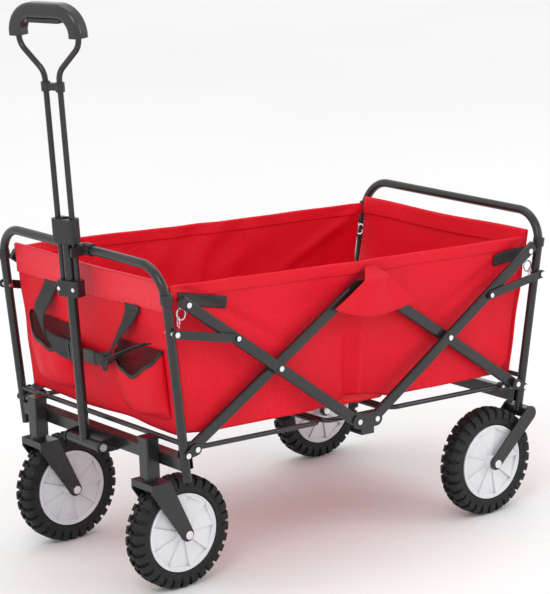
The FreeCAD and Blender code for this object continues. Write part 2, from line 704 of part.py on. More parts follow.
def front_fork(y):
    """A caster fork: crown plate, folded lip, two tapering legs and a stem."""
    half = FORK_GAP / 2
    front = STEM_X - 18
    back = front + FORK_TOP_W
    crown = box(front, back, y - half - PLATE, y + half + PLATE, CROWN_Z, CROWN_Z + PLATE)
    lip = box(front, front + PLATE, y - half - PLATE, y + half + PLATE, CROWN_Z - 9, CROWN_Z)
    top = CROWN_Z
    reach = math.hypot(FRONT_WHEEL_X - STEM_X, top - WHEEL_RADIUS)
    along = math.atan2(WHEEL_RADIUS - top, FRONT_WHEEL_X - STEM_X)
    legs = []
    for y0 in (y - half - PLATE, y + half):
        outline = [(front, top), (back, top)]
        for sign in (1, -1):
            angle = along + sign * math.radians(82)
            outline.append((FRONT_WHEEL_X + FORK_END_R * math.cos(angle), WHEEL_RADIUS + FORK_END_R * math.sin(angle)))
        outline.append((front, top - 14))
        leg = prism(outline, y0, y0 + PLATE)
        leg = leg.fuse(y_pin(FRONT_WHEEL_X, WHEEL_RADIUS, y0, y0 + PLATE, FORK_END_R))
        legs.append(leg.cut(y_pin(FRONT_WHEEL_X, WHEEL_RADIUS, y0, y0 + PLATE, AXLE_R)))
    stem = Part.makeCylinder(STEM_R, HOUSING_TOP - 6 - CROWN_Z - PLATE, Vector(STEM_X, y, CROWN_Z + PLATE))
    washer = Part.makeCylinder(12, HOUSING_BOTTOM - CROWN_Z - PLATE - GAP, Vector(STEM_X, y, CROWN_Z + PLATE))
    return crown.fuse([lip, stem, washer] + legs).removeSplitter()


def caster_housing():
    """The square socket on the bar's face that a caster stem turns in."""
    half = HOUSING_SIDE / 2
    body = box(STEM_X - half, STEM_X + half, -FRONT_WHEEL_Y - half, -FRONT_WHEEL_Y + half,
               HOUSING_BOTTOM, HOUSING_TOP - 5)
    edges = [e for e in body.Edges if abs(e.tangentAt(e.FirstParameter).z) > 0.99]
    body = body.makeFillet(3, edges)
    lid = half + 1.5
    cap = box(STEM_X - lid, STEM_X + lid, -FRONT_WHEEL_Y - lid, -FRONT_WHEEL_Y + lid, HOUSING_TOP - 5, HOUSING_TOP)
    cap = cap.makeFillet(1.5, [e for e in cap.Edges])
    bore = Part.makeCylinder(STEM_R + RUN_FIT, HOUSING_TOP - 5 - HOUSING_BOTTOM,
                             Vector(STEM_X, -FRONT_WHEEL_Y, HOUSING_BOTTOM))
    return body.fuse(cap).cut([bore, front_bar_blank(), at_end(cross_rod(), "front")])


def rear_fork():
    """The near rear fork: two flat legs on a block under the post."""
    top_x, top_z = REAR_FORK_TOP
    half = FORK_GAP / 2
    y = -HALF_TRACK
    legs = []
    for y0 in (y - half - PLATE, y + half):
        leg = slot_plate((top_x, top_z), (REAR_WHEEL_X, WHEEL_RADIUS), 14, FORK_END_R, y0, y0 + PLATE)
        legs.append(leg.cut(y_pin(REAR_WHEEL_X, WHEEL_RADIUS, y0, y0 + PLATE, AXLE_R)))
    block = box(top_x - 6, top_x + 12, y - half, y + half, top_z - 9, top_z + 9)
    return block.fuse(legs).removeSplitter()


def make_running_gear():
    plain_tyre = tyre()
    plain_hub = hub()
    places = {"front": (FRONT_WHEEL_X, FRONT_WHEEL_Y), "rear": (REAR_WHEEL_X, HALF_TRACK)}
    for end, (x, y) in places.items():
        for side, sign in (("near", -1), ("far", 1)):
            spot = Vector(x, sign * y, WHEEL_RADIUS)
            save(end + "_tyre_" + side, moved(plain_tyre, spot))
            save(end + "_hub_" + side, moved(plain_hub, spot))
    outer = FORK_GAP / 2 + PLATE
    for side, sign in (("near", -1), ("far", 1)):
        save("front_fork_" + side, front_fork(sign * FRONT_WHEEL_Y))
        save("front_axle_" + side, axle(FRONT_WHEEL_X, sign * FRONT_WHEEL_Y, WHEEL_RADIUS, outer))
    save("caster_housings", *both_sides(caster_housing()))
    save("rear_forks", *both_sides(cut_post(rear_fork())))
    save("rear_axles", *both_sides(axle(REAR_WHEEL_X, -HALF_TRACK, WHEEL_RADIUS, outer)))


def cut_post(shape):
    """Takes the rear post's foot and its plug out of the fork block."""
    x0, h0 = 0.0, -REAR_TAIL - 2.0
    post = rod(Vector(x0, -HALF_TRACK, h0), Vector(x0, -HALF_TRACK, 40), TUBE_R)
    return shape.cut(at_end(post, "rear"))


# Handle --------------------------------------------------------------------------

def on_handle(shape, twist=0.0):
    """Takes a shape from handle coordinates (x forward-back, y, s up) to its place."""
    shape = turned(shape, ORIGIN, Z_AXIS, twist)
    shape = turned(shape, ORIGIN, Y_AXIS, -HANDLE_LEAN)
    return moved(shape, Vector(HANDLE_X, 0, HANDLE_Z))


def yoke():
    """The cross tube at the handle's foot that turns on the bracket's bolt."""
    tube = y_pin(0, 0, -YOKE_HALF, YOKE_HALF, YOKE_R)
    return tube.cut(y_pin(0, 0, -YOKE_HALF, YOKE_HALF, HANDLE_PIN_R + RUN_FIT))


def mast():
    """The lower tube, coped over the yoke."""
    tube = rod(ORIGIN, Vector(0, 0, MAST_TOP), MAST_R)
    tube = tube.cut(rod(Vector(0, 0, 0), Vector(0, 0, MAST_TOP), MAST_R - 1.5))
    return tube.cut(y_pin(0, 0, -YOKE_HALF, YOKE_HALF, YOKE_R))


def guide_block(span, mast_fit, rod_fit):
    """A moulded block round the mast and both pull rods."""
    low, high = span
    half_w = PULL_SPACING / 2 + PULL_ROD_R + 3
    block = box(-BLOCK_T / 2, BLOCK_T / 2, -half_w, half_w, low, high)
    edges = [e for e in block.Edges if abs(e.tangentAt(e.FirstParameter).z) > 0.99]
    block = block.makeFillet(7, edges)
    block = block.cut(rod(Vector(0, 0, low), Vector(0, 0, high), MAST_R + mast_fit))
    for y in (-PULL_SPACING / 2, PULL_SPACING / 2):
        block = block.cut(rod(Vector(0, y, low), Vector(0, y, high), PULL_ROD_R + rod_fit))
    return block


def pull_path(foot):
    half = PULL_SPACING / 2
    right = [(half, foot), (half, LOOP_NECK), (LOOP_HALF, LOOP_SPREAD), (LOOP_HALF, LOOP_TOP)]
    points = [Vector(0, y, s) for y, s in right]
    points += [Vector(0, -y, s) for y, s in reversed(right)]
    return bent_wire(points, [30, 30, 38, 38, 30, 30])


def grip():
    """The moulded D-grip shell over the loop's top."""
    points = [Vector(0, LOOP_HALF, GRIP_FOOT), Vector(0, LOOP_HALF, LOOP_TOP),
              Vector(0, -LOOP_HALF, LOOP_TOP), Vector(0, -LOOP_HALF, GRIP_FOOT)]
    path = bent_wire(points, [38, 38])
    half_w, half_d, edge = GRIP_IN_PLANE / 2, GRIP_DEPTH / 2, 8.0
    corners = [(-half_d, -half_w), (half_d, -half_w), (half_d, half_w), (-half_d, half_w), (-half_d, -half_w)]
    profile = bent_wire([Vector(x, LOOP_HALF + y, GRIP_FOOT) for x, y in
                         [(0, -half_w), (half_d, -half_w), (half_d, half_w), (-half_d, half_w), (-half_d, -half_w), (0, -half_w)]],
                        [edge] * 4)
    shell = path.makePipeShell([profile], True, True)
    return shell.cut(pipe(pull_path(SLIDER[0]), PULL_ROD_R))


def grip_pad():
    """The soft ribbed pad under the grip's bar."""
    top = LOOP_TOP - GRIP_IN_PLANE / 2
    pad = box(-GRIP_DEPTH / 2 + 4, GRIP_DEPTH / 2 - 4, -36, 36, top - 7, top)
    pad = pad.makeFillet(3, [e for e in pad.Edges if abs(e.tangentAt(e.FirstParameter).y) < 0.5 and e.BoundBox.ZMax < top - 0.1])
    for i in range(8):
        y = -30.5 + i * 8.7
        pad = pad.cut(box(-20, 20, y - 1, y + 1, top - 8, top - 5.5))
    return pad


def spacer():
    """The moulded clip that keeps the two rods apart."""
    low, high = SPACER
    half = PULL_SPACING / 2
    web = box(-4, 4, -half, half, low + 2, high - 2)
    rings = [rod(Vector(0, y, low), Vector(0, y, high), PULL_ROD_R + 3) for y in (-half, half)]
    body = web.fuse(rings)
    for y in (-half, half):
        body = body.cut(rod(Vector(0, y, low), Vector(0, y, high), PULL_ROD_R))
    return body


def slider_rivets():
    """The two rivets that fix the slider to the rods."""
    middle = (SLIDER[0] + SLIDER[1]) / 2
    pins = []
    for y in (-PULL_SPACING / 2, PULL_SPACING / 2):
        pins.append(Part.makeCylinder(3.5, 2, Vector(-BLOCK_T / 2 - 2, y, middle), X_AXIS))
    return pins


def handle_bracket():
    """The ears on the front bar that hold the yoke."""
    lug_x, _ = post_point(BAR_SIDE / 2 - BAR_INSET, -BAR_DROP)
    face = -lug_x - 1
    ears = []
    for y0 in (YOKE_HALF + GAP, -YOKE_HALF - GAP - PLATE):
        ear = slot_plate((HANDLE_X, HANDLE_Z), (face + 4, HANDLE_Z + 2), 11, 13, y0, y0 + PLATE)
        ears.append(ear.cut(y_pin(HANDLE_X, HANDLE_Z, y0, y0 + PLATE, HANDLE_PIN_R)))
    back = box(face - PLATE, face + 4, -YOKE_HALF - GAP - PLATE, YOKE_HALF + GAP + PLATE, HANDLE_Z - 11, HANDLE_Z + 15)
    bracket = back.fuse(ears).removeSplitter()
    return bracket.cut(front_bar_blank())


def front_bar_blank():
    half = BAR_SIDE / 2
    return at_end(box(-BAR_INSET - half, -BAR_INSET + half, -HALF_TRACK, HALF_TRACK, -BAR_DROP - half, -BAR_DROP + half), "front")


def handle_bolt():
    reach = YOKE_HALF + GAP + PLATE
    shank = y_pin(HANDLE_X, HANDLE_Z, -reach, reach + 5, HANDLE_PIN_R)
    head = y_pin(HANDLE_X, HANDLE_Z, -reach - 4, -reach, 7)
    nut = y_pin(HANDLE_X, HANDLE_Z, reach, reach + 4.5, 7.5)
    return shank.fuse([head, nut])


def rail_clip():
    """The clip on the rail beside the handle, with a cheek that the mast rests by."""
    low, high = -44.0, -24.0
    ring = y_pin(0, RAIL_REACH, low, high, TUBE_R + 3)
    cheek = box(0, 32, high - 4, high, RAIL_REACH - 9, RAIL_REACH + 8)
    cheek = cheek.makeFillet(4, [e for e in cheek.Edges if abs(e.tangentAt(e.FirstParameter).y) > 0.99])
    clip = ring.fuse(cheek)
    return clip.cut(y_pin(0, RAIL_REACH, low, high, TUBE_R))


def make_handle():
    save("handle_bracket", handle_bracket())
    save("rail_clip", at_end(rail_clip(), "front"))
    save("handle_mast", on_handle(mast()), on_handle(yoke()))
    save("handle_collar", on_handle(guide_block(COLLAR, RUN_FIT, RUN_FIT), HANDLE_TWIST))
    save("handle_slider", on_handle(guide_block(SLIDER, 0.1, 0.0), HANDLE_TWIST))
    save("slider_rivets", *[on_handle(s, HANDLE_TWIST) for s in slider_rivets()])
    save("pull_rod", on_handle(pipe(pull_path(SLIDER[0]), PULL_ROD_R), HANDLE_TWIST))
    save("rod_spacer", on_handle(spacer(), HANDLE_TWIST))
    save("handle_grip", on_handle(grip(), HANDLE_TWIST))
    save("grip_pad", on_handle(grip_pad().cut(grip()), HANDLE_TWIST))


os.makedirs("parts", exist_ok=True)
make_end("front", FRONT_TAIL)
make_end("rear", REAR_TAIL)
for which in ("front", "rear"):
    make_rising_arms(which)
    make_falling_arms(which)
    make_links(which)
make_hubs()
make_floor()
make_basket()
make_buckle()
make_running_gear()
make_handle()
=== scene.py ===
"""Looks of the folding utility wagon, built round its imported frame.

The soft parts are made here: the basket's four walls with their hems and
stitching, the hub flaps, the floor pads, the pockets and the straps, with their
small hardware: corner rings, link rivets and a strap adjuster. The other hard
parts are the frame's own nodes with finishes.
Metres, row frame: -X is the handle end, -Y the near side, +Z up.
"""
import bmesh
import bpy
import json
import math
from mathutils import Matrix, Vector, noise


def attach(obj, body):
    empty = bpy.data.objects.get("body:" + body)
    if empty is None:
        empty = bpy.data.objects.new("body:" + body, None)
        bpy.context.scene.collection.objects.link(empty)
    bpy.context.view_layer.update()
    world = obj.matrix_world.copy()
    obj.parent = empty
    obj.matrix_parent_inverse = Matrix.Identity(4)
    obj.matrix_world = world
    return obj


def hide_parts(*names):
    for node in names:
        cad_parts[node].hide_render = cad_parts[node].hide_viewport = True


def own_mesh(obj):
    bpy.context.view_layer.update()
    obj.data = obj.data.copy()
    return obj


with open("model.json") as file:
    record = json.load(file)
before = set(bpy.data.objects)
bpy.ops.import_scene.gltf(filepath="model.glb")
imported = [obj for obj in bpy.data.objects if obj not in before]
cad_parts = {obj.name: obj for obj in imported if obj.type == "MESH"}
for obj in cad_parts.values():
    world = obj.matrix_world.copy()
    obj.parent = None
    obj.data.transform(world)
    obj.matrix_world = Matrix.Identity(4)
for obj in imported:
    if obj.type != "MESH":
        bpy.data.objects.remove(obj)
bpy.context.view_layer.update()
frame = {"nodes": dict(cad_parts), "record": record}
NODES = frame["nodes"]

# The frame's own level and its leaning ends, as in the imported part
CENTRE_SHIFT = 0.01585
FRAME_HEIGHT = 0.242
FRAME_PITCH = math.radians(2.6)
HALF_BASE = 0.388
POST_LEAN = math.radians(7.4)

# Basket
PANEL_OUT = -0.0155          # middle of an end panel's cloth, in post coordinates
PANEL_HALF = 0.226
PANEL_BOTTOM = 0.023
PANEL_TOP = 0.286
HEM_DEPTH = 0.050
SIDE_Y = 0.2305              # middle of a side wall's cloth
SIDE_TOP = 0.277
CLOTH_THICK = 0.0014
WEBBING_THICK = 0.0016

# Link rivets, where a link meets its falling arm
LINK_RIVET_X = 0.289
LINK_RIVET_RISE = 0.1871
LINK_RIVET_RADIUS = 0.0046
LINK_HEAD_Y = 0.2661         # outer face of a link's rivet head

SEAM_X = -0.371              # upright seam near a side wall's front edge

PAD_LIFT = 0.0004            # a floor pad stands this far over its board's place


# Places --------------------------------------------------------------------------

LEVEL = (Matrix.Translation((CENTRE_SHIFT, 0, FRAME_HEIGHT))
         @ Matrix.Rotation(FRAME_PITCH, 4, "Y"))


def post_space(end):
    """Post coordinates (outward, y, along the post) to the row frame."""
    lean = (Matrix.Translation((HALF_BASE, 0, 0))
            @ Matrix.Rotation(POST_LEAN, 4, "Y"))
    side = -1 if end == "front" else 1
    return LEVEL @ Matrix.Diagonal((side, 1, 1, 1)) @ lean


FRONT = post_space("front")
REAR = post_space("rear")


def ease(t):
    """Smooth step from 0 to 1."""
    t = min(1.0, max(0.0, t))
    return t * t * (3 - 2 * t)


def hump(t, middle, width):
    """A smooth bump, 1 at the middle and nearly 0 two widths away."""
    return math.exp(-((t - middle) / width) ** 2)


def swell(x, y, seed, pitch):
    """Slow even unevenness of hanging cloth, from -1 to 1."""
    return noise.noise(Vector((x / pitch, y / pitch, seed)))


# Shader groups -------------------------------------------------------------------

def shader_group(name, inputs, outputs):
    tree = bpy.data.node_groups.new(name, "ShaderNodeTree")
    for label, value in inputs:
        socket = tree.interface.new_socket(label, in_out="INPUT", socket_type="NodeSocketFloat")
        socket.default_value = value
    for label in outputs:
        tree.interface.new_socket(label, in_out="OUTPUT", socket_type="NodeSocketFloat")
    return tree, tree.nodes.new("NodeGroupInput"), tree.nodes.new("NodeGroupOutput")


def noise_in(tree, where, scale, detail):
    """A noise texture on the given coordinates; scale is a number or a socket."""
    node = tree.nodes.new("ShaderNodeTexNoise")
    node.inputs["Detail"].default_value = detail
    tree.links.new(where, node.inputs["Vector"])
    if isinstance(scale, (int, float)):
        node.inputs["Scale"].default_value = scale
    else:
        tree.links.new(scale, node.inputs["Scale"])
    return node.outputs["Fac"]


def math_in(tree, kind, *values):
    node = tree.nodes.new("ShaderNodeMath")
    node.operation = kind
    for i, value in enumerate(values):
        if isinstance(value, (int, float)):
            node.inputs[i].default_value = value
        else:
            tree.links.new(value, node.inputs[i])
    return node.outputs[0]


def spread(tree, value, low, high, out_low=0.0, out_high=1.0):
    """Maps a value's range to another, clamped."""
    node = tree.nodes.new("ShaderNodeMapRange")
    tree.links.new(value, node.inputs["Value"])
    for label, number in (("From Min", low), ("From Max", high),
                          ("To Min", out_low), ("To Max", out_high)):
        node.inputs[label].default_value = number
    return node.outputs["Result"]


def build_variation():
    """Patches, fine grain and dust specks over a surface, on Object coordinates."""
    tree, into, out = shader_group("surface_variation", [("Size", 1.0)],
                                   ["Patches", "Grain", "Dust"])
    where = tree.nodes.new("ShaderNodeTexCoord").outputs["Object"]
    size = into.outputs["Size"]
    patches = noise_in(tree, where, math_in(tree, "MULTIPLY", size, 14.0), 2.0)
    grain = noise_in(tree, where, math_in(tree, "MULTIPLY", size, 900.0), 0.0)
    dust = noise_in(tree, where, math_in(tree, "MULTIPLY", size, 240.0), 2.0)
    tree.links.new(spread(tree, patches, 0.3, 0.7), out.inputs["Patches"])
    tree.links.new(grain, out.inputs["Grain"])
    tree.links.new(spread(tree, dust, 0.6, 0.75), out.inputs["Dust"])
    return tree


def build_weave():
    """A plain weave on the piece's own cut, in threads to the metre."""
    tree, into, out = shader_group("weave", [("Threads", 900.0), ("Rib", 1.0)],
                                   ["Height", "Shade"])
    cut = tree.nodes.new("ShaderNodeUVMap")
    cut.uv_map = "cut"
    axes = tree.nodes.new("ShaderNodeSeparateXYZ")
    tree.links.new(cut.outputs["UV"], axes.inputs[0])
    turns = math_in(tree, "MULTIPLY", into.outputs["Threads"], math.pi)
    warp = math_in(tree, "SINE", math_in(tree, "MULTIPLY", axes.outputs["X"], turns))
    cross = math_in(tree, "MULTIPLY", axes.outputs["Y"],
                    math_in(tree, "MULTIPLY", turns, into.outputs["Rib"]))
    weft = math_in(tree, "SINE", cross)
    height = math_in(tree, "MULTIPLY_ADD", math_in(tree, "MULTIPLY", warp, weft), 0.5, 0.5)
    tree.links.new(height, out.inputs["Height"])
    slub = noise_in(tree, cut.outputs["UV"], 160.0, 1.0)
    tree.links.new(spread(tree, slub, 0.3, 0.7), out.inputs["Shade"])
    return tree


VARIATION = build_variation()
WEAVE = build_weave()


# Materials -----------------------------------------------------------------------

class Finish:
    """A material with a Principled shader and short calls to drive it."""

    def __init__(self, name, **constants):
        self.material = bpy.data.materials.new(name)
        self.material.use_nodes = True
        self.tree = self.material.node_tree
        self.shader = self.tree.nodes["Principled BSDF"]
        for label, value in constants.items():
            self.shader.inputs[label.replace("_", " ")].default_value = value

    def group(self, tree, **values):
        node = self.tree.nodes.new("ShaderNodeGroup")
        node.node_tree = tree
        for label, value in values.items():
            node.inputs[label].default_value = value
        return node.outputs

    def colour(self, mask, low, high, dust=None, dusty=None):
        """Base colour between two tones by the mask, with dust over it."""
        mixed = self.mix(mask, (*low, 1), (*high, 1))
        if dust is not None:
            mixed = self.mix(dust, mixed, (*dusty, 1))
        self.tree.links.new(mixed, self.shader.inputs["Base Color"])

    def mix(self, mask, low, high):
        node = self.tree.nodes.new("ShaderNodeMix")
        node.data_type = "RGBA"
        self.tree.links.new(mask, node.inputs["Factor"])
        for label, value in (("A", low), ("B", high)):
            socket = [s for s in node.inputs if s.name == label and s.type == "RGBA"][0]
            if isinstance(value, tuple):
                socket.default_value = value
            else:
                self.tree.links.new(value, socket)
        return [s for s in node.outputs if s.type == "RGBA"][0]

    def rough(self, mask, low, high):
        self.tree.links.new(spread(self.tree, mask, 0, 1, low, high), self.shader.inputs["Roughness"])

    def bump(self, height, distance):
        node = self.tree.nodes.new("ShaderNodeBump")
        node.inputs["Distance"].default_value = distance
        node.inputs["Strength"].default_value = 1.0
        self.tree.links.new(height, node.inputs["Height"])
        self.tree.links.new(node.outputs["Normal"], self.shader.inputs["Normal"])


def hard_finish(name, low, high, rough, bump, size=1.0, dusty=None, **constants):
    """Paint, plastic, rubber or metal: two tones, uneven gloss and a fine grain."""
    finish = Finish(name, **constants)
    surface = finish.group(VARIATION, Size=size)
    if dusty is None:
        finish.colour(surface["Patches"], low, high)
    else:
        finish.colour(surface["Patches"], low, high, surface["Dust"], dusty)
    finish.rough(surface["Patches"], *rough)
    finish.bump(surface["Grain"], bump)
    return finish.material


def cloth_finish(name, low, high, rough, threads, rib, depth, **constants):
    """Woven cloth or webbing: thread relief on its cut, slubs and soft patches."""
    finish = Finish(name, **constants)
    woven = finish.group(WEAVE, Threads=threads, Rib=rib)
    surface = finish.group(VARIATION, Size=0.6)
    mask = math_in(finish.tree, "MULTIPLY", woven["Shade"], surface["Patches"])
    finish.colour(mask, low, high)
    finish.rough(woven["Height"], *rough)
    finish.bump(woven["Height"], depth)
    return finish.material


FINISHES = {
    "black_frame": hard_finish("black_powder_coat", (0.011, 0.011, 0.012), (0.019, 0.019, 0.021),
                               (0.20, 0.32), 0.00005, dusty=(0.03, 0.029, 0.028),
                               Specular_IOR_Level=0.5),
    "black_plastic": hard_finish("moulded_black", (0.012, 0.012, 0.013), (0.022, 0.022, 0.024),
                                 (0.3, 0.45), 0.0001, 1.3, dusty=(0.035, 0.034, 0.033),
                                 Specular_IOR_Level=0.45),
    "bright_steel": hard_finish("zinc_plate", (0.74, 0.74, 0.76), (0.88, 0.88, 0.9),
                                (0.16, 0.34), 0.00004, 2.0, Metallic=1.0),
    "tyre": hard_finish("tyre_rubber", (0.010, 0.010, 0.0105), (0.018, 0.018, 0.018),
                        (0.5, 0.7), 0.0003, 0.7, dusty=(0.03, 0.029, 0.028),
                        Specular_IOR_Level=0.28),
    "hub_grey": hard_finish("pale_hub_plastic", (0.70, 0.69, 0.73), (0.77, 0.76, 0.80),
                            (0.34, 0.46), 0.00005, 1.0),
    "soft_grip": hard_finish("ribbed_soft_grip", (0.02, 0.02, 0.021), (0.032, 0.032, 0.034),
                             (0.6, 0.75), 0.0002, 1.5),
}
GRIP_GLOSS = hard_finish("moulded_grip_shell", (0.014, 0.014, 0.016), (0.022, 0.022, 0.025),
                         (0.14, 0.24), 0.00005, 1.2, Specular_IOR_Level=0.6)
RED_CLOTH = cloth_finish("red_oxford_cloth", (0.70, 0.0015, 0.014), (0.84, 0.003, 0.024),
                         (0.42, 0.60), 1100.0, 1.0, 0.00025, Specular_IOR_Level=0.22)
HEM_CLOTH = cloth_finish("red_hem_binding", (0.80, 0.012, 0.032), (0.90, 0.028, 0.055),
                         (0.38, 0.52), 900.0, 0.5, 0.0003, Specular_IOR_Level=0.4)
THREAD = hard_finish("red_sewing_thread", (0.50, 0.004, 0.014), (0.66, 0.006, 0.02),
                     (0.5, 0.7), 0.0001, 2.0)
DARK_THREAD = hard_finish("grey_sewing_thread", (0.07, 0.07, 0.07), (0.12, 0.12, 0.12),
                          (0.5, 0.7), 0.0001, 2.0)
WEBBING = cloth_finish("black_webbing", (0.010, 0.010, 0.011), (0.024, 0.024, 0.026),
                       (0.45, 0.65), 520.0, 0.35, 0.0005)
NET = hard_finish("dark_pocket_net", (0.05, 0.004, 0.006), (0.11, 0.006, 0.010),
                  (0.5, 0.7), 0.0001, 2.0)


def dress_frame():
    """Each CAD node takes the finish of its record slot."""
    for part in frame["record"]["subparts"]:
        node = NODES[part["node"]]
        finish = FINISHES.get(part["material_slot"], RED_CLOTH)
        if part["node"] == "handle_grip":
            finish = GRIP_GLOSS
        node.data.materials.clear()
        node.data.materials.append(finish)


# Piece building ------------------------------------------------------------------

def finished(name, mesh, material, smooth=True):
    """An object at the origin with its place in its mesh."""
    for face in mesh.faces:
        face.smooth = smooth
    data = bpy.data.meshes.new(name)
    mesh.to_mesh(data)
    mesh.free()
    data.materials.append(material)
    piece = bpy.data.objects.new(name, data)
    bpy.context.scene.collection.objects.link(piece)
    return piece


def cut_sheet(name, place, size, cells, shape, material, thick=CLOTH_THICK):
    """A sheet cut to size; shape(a, b) says where a point of the cut lies in the place."""
    width, length = size
    mesh = bmesh.new()
    bmesh.ops.create_grid(mesh, x_segments=cells[0], y_segments=cells[1], size=0.5)
    cut = mesh.loops.layers.uv.new("cut")
    for face in mesh.faces:
        for loop in face.loops:
            spot = loop.vert.co
            loop[cut].uv = ((spot.x + 0.5) * width, (spot.y + 0.5) * length)
    for vert in mesh.verts:
        spot = shape(vert.co.x + 0.5, vert.co.y + 0.5)
        vert.co = place @ Vector(spot)
    piece = finished(name, mesh, material)
    wall = piece.modifiers.new("cloth_wall", "SOLIDIFY")
    wall.thickness = thick
    wall.offset = 0.0
    return piece


def stitch_row(name, place, spots, material, ride_on, length=0.0032, thick=0.0005):
    """Sewn stitches along rows of (point, direction, outward) in the place."""
    mesh = bmesh.new()
    for point, along, outward in spots:
        along = Vector(along).normalized()
        outward = Vector(outward).normalized()
        across = along.cross(outward)
        turn = Matrix((along * length, across * thick * 1.4, outward * thick)).transposed().to_4x4()
        bmesh.ops.create_icosphere(mesh, subdivisions=1, radius=0.5,
                                   matrix=place @ Matrix.Translation(Vector(point)) @ turn)
    bmesh.ops.recalc_face_normals(mesh, faces=mesh.faces)
    piece = finished(name, mesh, material)
    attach(piece, ride_on)
    return piece


def smooth_path(points, t):
    """A point on a smooth line through the given points, t from 0 to 1."""
    spans = len(points) - 1
    i = min(spans - 1, int(t * spans))
    f = t * spans - i
    p1, p2 = Vector(points[i]), Vector(points[i + 1])
    p0 = Vector(points[i - 1]) if i > 0 else p1 * 2 - p2
    p3 = Vector(points[i + 2]) if i + 2 <= spans else p2 * 2 - p1
    return 0.5 * (2 * p1 + (p2 - p0) * f + (2 * p0 - 5 * p1 + 4 * p2 - p3) * f * f
                  + (3 * p1 - 3 * p2 + p3 - p0) * f ** 3)


def webbing_strap(name, place, points, sides, width, ride_on):
    """A flat strap along the points; sides give the way of its width at each point."""
    steps = 12 * (len(points) - 1)
    length = sum((Vector(b) - Vector(a)).length for a, b in zip(points, points[1:]))

    def lie(a, b):
        side = smooth_path(sides, b).normalized()
        return smooth_path(points, b) + side * (a - 0.5) * width

    strap = cut_sheet(name, place, (width, length), (6, steps), lie, WEBBING, WEBBING_THICK)
    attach(strap, ride_on)
    return strap


# End panels ----------------------------------------------------------------------

def end_out(y, rise, seed):
    """How far the end panel's cloth stands off its plane."""
    middle = 1 - (y / PANEL_HALF) ** 2
    height = (rise - PANEL_BOTTOM) / (PANEL_TOP - PANEL_BOTTOM)
    belly = 0.005 * middle * math.sin(math.pi * min(1, max(0, height)))
    slack = 0.0032 * swell(y, rise, seed, 0.075) * ease(1.1 - height)
    pull = 0.0016 * math.sin((y * 26 + rise * 38)) * hump(height, 0.62, 0.22)
    return PANEL_OUT + belly + slack + pull


def end_rise(y, share):
    """Rise of a share of the panel's height: its lower edge sags, its top is straight."""
    low = PANEL_BOTTOM - 0.003 * math.sin(y * 22) * (1 - (y / PANEL_HALF) ** 2)
    top = PANEL_TOP - 0.0015 * math.cos(y * 17)
    return low + (top - low) * share


def make_end_panel(end, place, seed):
    body = end + "_frame"
    size = (2 * PANEL_HALF, PANEL_TOP - PANEL_BOTTOM)

    def lie(a, b):
        y = (a - 0.5) * size[0]
        rise = end_rise(y, b)
        return end_out(y, rise, seed), y, rise

    panel = cut_sheet(end + "_panel_cloth", place, size, (90, 54), lie, RED_CLOTH)
    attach(panel, body)
    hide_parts(end + "_panel")
    hem = make_end_hem(end, place, seed)


def make_end_hem(end, place, seed):
    """The band folded over the panel's top edge: outer face, fold, inner face."""
    inner_depth = 0.030
    fold = 0.004
    length = HEM_DEPTH + fold + inner_depth
    gap = 0.0024

    def lie(a, b):
        y = (a - 0.5) * 2 * (PANEL_HALF + 0.0015)
        along = b * length
        pucker = 0.0005 * math.sin(y * 420) * hump(along, 0.006, 0.006)
        if along < HEM_DEPTH:
            rise = PANEL_TOP - HEM_DEPTH + along
            side = gap + pucker
        elif along < HEM_DEPTH + fold:
            turn = math.pi * (along - HEM_DEPTH) / fold
            rise = PANEL_TOP + gap * math.sin(turn)
            side = gap * math.cos(turn)
        else:
            rise = PANEL_TOP - (along - HEM_DEPTH - fold)
            side = -gap
        base = end_out(y, min(rise, PANEL_TOP), seed)
        top_wave = end_rise(y, 1.0) - PANEL_TOP
        return base + side, y, rise + top_wave

    cloth = HEM_CLOTH if end == "front" else RED_CLOTH
    hem = cut_sheet(end + "_panel_hem", place, (2 * PANEL_HALF, length), (110, 40), lie, cloth)
    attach(hem, end + "_frame")
    rows = []
    for rise in (PANEL_TOP - HEM_DEPTH + 0.0035, PANEL_TOP - HEM_DEPTH + 0.0095):
        count = 104
        for i in range(count):
            y = (i / (count - 1) - 0.5) * 2 * (PANEL_HALF - 0.004)
            out = end_out(y, rise, seed) + gap + 0.0011
            rows.append(((out, y, rise + end_rise(y, 1.0) - PANEL_TOP), (0, 1, 0), (1, 0, 0)))
    stitch_row(end + "_hem_stitches", place, rows, THREAD, end + "_frame")
    return hem


# Side walls ----------------------------------------------------------------------


def folds_with_frame(piece):
    """The piece rides on the front frame's body, with a mesh of its own."""
    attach(piece, "front_frame")
    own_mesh(piece)


def side_edges(h):
    """The x of the wall's front and rear edges at a height."""
    lean = h * math.tan(POST_LEAN)
    front = -(HALF_BASE - 0.019 + lean * 0.93)
    rear = HALF_BASE - 0.028 + lean * 1.02
    return front, rear


def side_low(x):
    """The wall's lower edge: lifted at mid length and rounded up at the rear corner."""
    low = 0.026 + 0.012 * hump(x, 0.004, 0.05) + 0.005 * hump(x, -0.38, 0.04)
    if x > 0.318:
        reach = min(0.044, x - 0.318)
        low += 0.046 - math.sqrt(0.046 ** 2 - reach ** 2)
    return low


def side_high(x):
    """The wall's top edge, a little slack between its corners."""
    return SIDE_TOP + 0.003 - 0.006 * ease((x + 0.1) / 0.5) - 0.002 * math.cos(x * 9)


